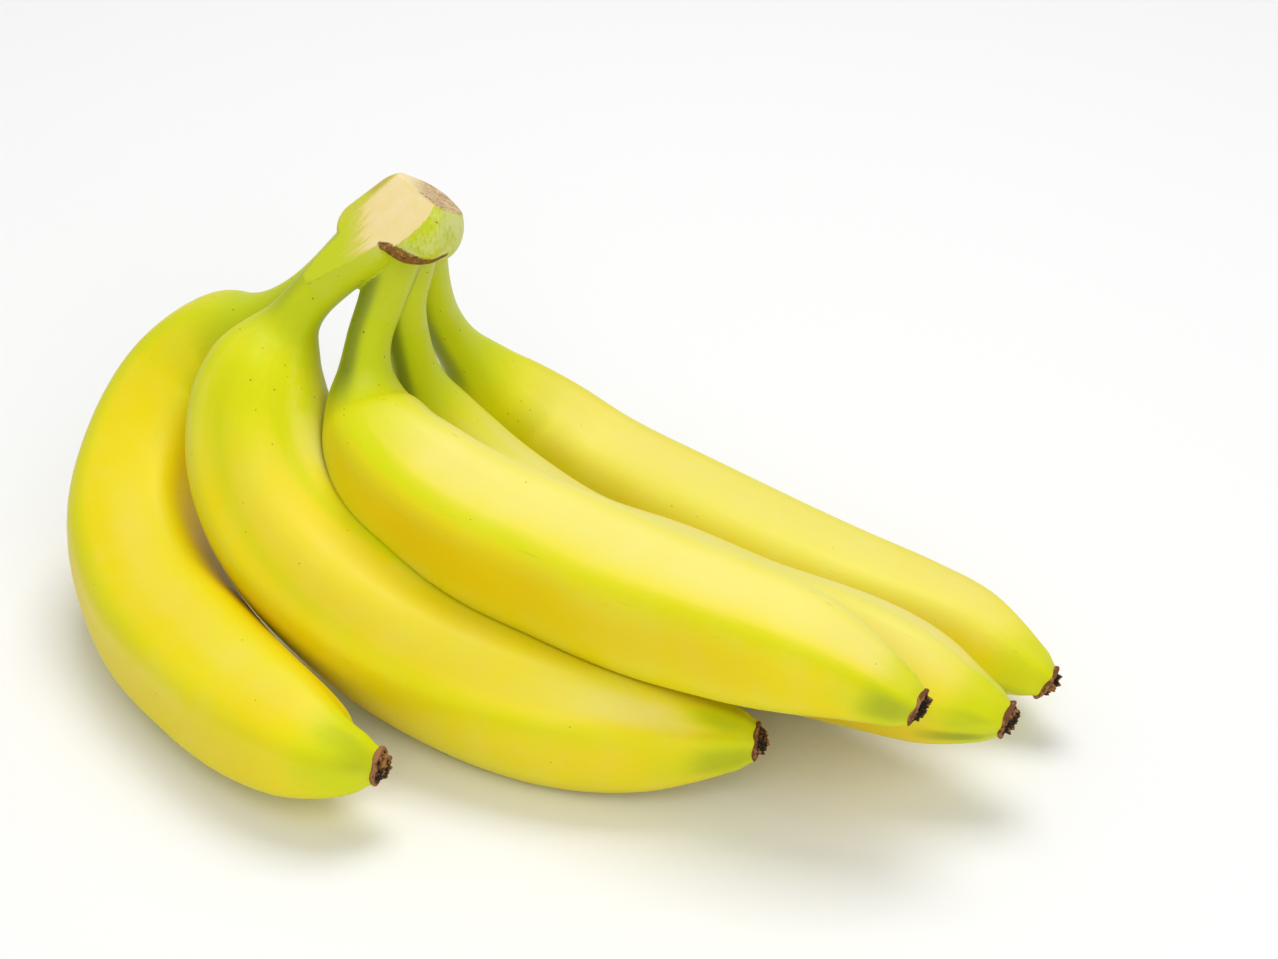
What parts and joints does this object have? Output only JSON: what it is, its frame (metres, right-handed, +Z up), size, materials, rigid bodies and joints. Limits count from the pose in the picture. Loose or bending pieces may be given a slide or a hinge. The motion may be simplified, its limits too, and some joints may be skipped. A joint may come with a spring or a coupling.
{
  "type": "bunch of bananas",
  "caption": "Hand of curved ripening bananas, green at the necks and tips, joined at one cut crown and lying on its side with the crown raised.",
  "frame": {"origin": "at table height, under the middle of the bunch's outline", "axes": "+Z up from the table; +X towards the tips of the three right-hand bananas; +Y away from the tips, towards the crown's side"},
  "size_m": [0.2422, 0.1546, 0.1153],
  "materials": {
    "skin": "satin, waxy yellow banana skin, green along the ridges and towards neck and tip",
    "crown": "green skin with a dry cream cut face, a corky older cut and a rough brown scar rim",
    "flower_end": "dry, rough, dark brown flower scar with a tan rim"
  },
  "bodies": {
    "root": {"crown": "crown", "banana_1": "skin", "banana_2": "skin", "banana_3": "skin", "banana_4": "skin", "banana_5": "skin", "flower_end_1": "flower_end", "flower_end_2": "flower_end", "flower_end_3": "flower_end", "flower_end_4": "flower_end", "flower_end_5": "flower_end"}
  },
  "joints": []
}
